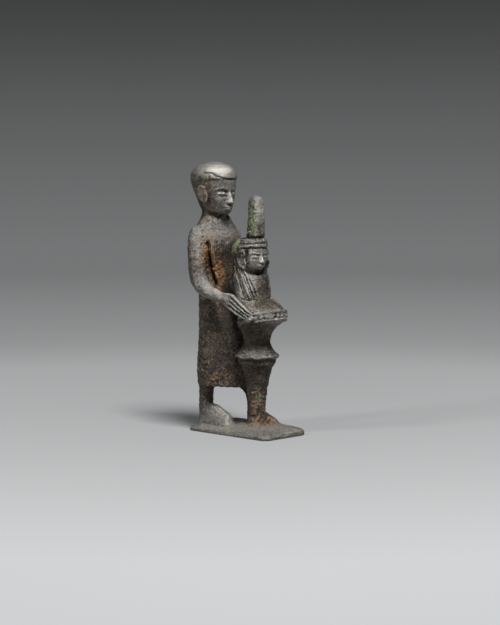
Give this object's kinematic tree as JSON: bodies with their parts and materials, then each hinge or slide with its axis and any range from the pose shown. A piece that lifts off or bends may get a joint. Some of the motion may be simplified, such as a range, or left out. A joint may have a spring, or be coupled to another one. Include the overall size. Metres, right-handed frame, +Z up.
{
  "type": "bronze offering statuette",
  "caption": "Cast bronze votive figure: a striding man in a long kilt holds a column topped by a broad collar and a crowned god's head, all on a thin cast plate.",
  "frame": {"origin": "middle of the plate's underside, on the surface that the statuette stands on", "axes": "+Z up along the figure's height, -Y the way the figure faces and strides, +X the figure's left"},
  "size_m": [0.031, 0.0574, 0.12],
  "materials": {
    "bronze": "dark brown patina, pitted, with copper-brown patches, rubbed grey highlights and spots of green corrosion"
  },
  "bodies": {
    "root": {"statuette": "bronze"}
  },
  "joints": []
}
